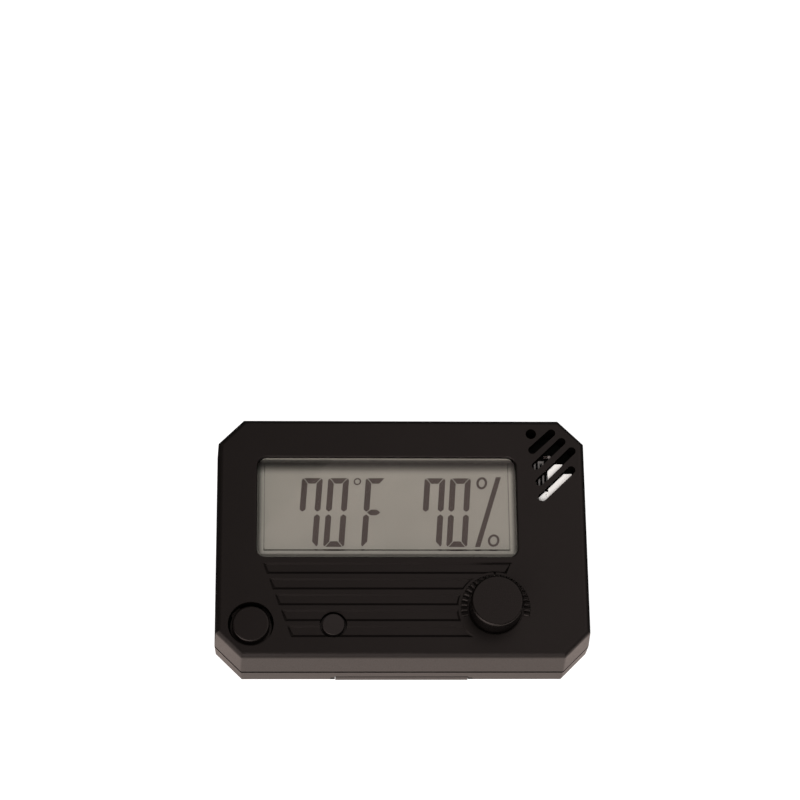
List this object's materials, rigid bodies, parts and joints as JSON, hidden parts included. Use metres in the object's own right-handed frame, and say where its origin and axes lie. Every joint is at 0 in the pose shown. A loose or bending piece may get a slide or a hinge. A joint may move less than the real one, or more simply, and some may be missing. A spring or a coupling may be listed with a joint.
{
  "type": "digital hygrometer",
  "caption": "Flat hygrometer and thermometer lying on its back: cut-corner case, display window, push buttons, calibration dial, slanted vents and a sliding battery door.",
  "frame": {"origin": "middle of the flat back, under the middle of the case", "axes": "+X along the width, to the right as the display is read; +Y up the face, towards the top of the digits; +Z out of the face, so the object lies on its back"},
  "size_m": [0.077, 0.0524, 0.02],
  "materials": {
    "case_plastic": "fine matte texture",
    "button_plastic": "smooth satin",
    "knob_plastic": "smooth satin",
    "switch_plastic": "plain moulded",
    "white_nylon": "plain moulded",
    "frame_plastic": "plain moulded",
    "sensor_plastic": "smooth white",
    "clear_lens": "clear and polished",
    "display_film": "grey-green film",
    "display_glass": "clear",
    "reflector_film": "satin",
    "black_tape": "matte",
    "contact_rubber": "matte, striped",
    "board_laminate": "black solder mask",
    "chip_ceramic": "fired ceramic",
    "chip_resin": "cast resin",
    "can_metal": "drawn can",
    "element_ceramic": "ceramic plate",
    "tinned_wire": "tinned",
    "bead_glass": "glazed bead",
    "cell_steel": "nickel-plated",
    "spring_steel": "plated",
    "screw_steel": "zinc-plated"
  },
  "bodies": {
    "case_body": {"battery_cell": "cell_steel", "battery_contact_negative": "spring_steel", "battery_contact_positive": "spring_steel", "board_screws": "screw_steel", "case_screws": "screw_steel", "chip_blob": "chip_resin", "circuit_board": "board_laminate", "crystal_can": "can_metal", "display_frame": "frame_plastic", "display_front_glass": "display_glass", "display_lens": "clear_lens", "display_polarizer": "display_film", "display_rear_glass": "display_glass", "display_reflector": "reflector_film", "front_shell": "case_plastic", "humidity_element": "element_ceramic", "humidity_sensor_case": "sensor_plastic", "lens_tape": "black_tape", "potentiometer_body": "switch_plastic", "rear_shell": "case_plastic", "reset_switch_body": "switch_plastic", "select_switch_body": "switch_plastic", "sensor_pins": "tinned_wire", "surface_parts": "chip_ceramic", "thermistor_bead": "bead_glass", "thermistor_leads": "tinned_wire", "zebra_connector": "contact_rubber"},
    "select_button_body": {"select_button": "button_plastic", "select_plunger": "switch_plastic"},
    "reset_button_body": {"reset_button": "button_plastic", "reset_plunger": "switch_plastic"},
    "dial_body": {"calibration_knob": "knob_plastic", "calibration_shaft": "white_nylon"},
    "door_body": {"battery_door": "case_plastic"}
  },
  "joints": [
    {"name": "select_press", "type": "slide", "parent": "case_body", "child": "select_button_body", "axis": [0, 0, -1], "range_m": [0, 0.0006], "stiffness_N_per_m": 400},
    {"name": "reset_press", "type": "slide", "parent": "case_body", "child": "reset_button_body", "axis": [0, 0, -1], "range_m": [0, 0.0005], "stiffness_N_per_m": 400},
    {"name": "dial_turn", "type": "hinge", "parent": "case_body", "child": "dial_body", "pos_m": [0.0188, -0.0154, 0.015], "axis": [0, 0, 1], "range_deg": [-104, 104]},
    {"name": "door_slide", "type": "slide", "parent": "case_body", "child": "door_body", "axis": [0, -1, 0], "range_m": [0, 0.026]}
  ]
}
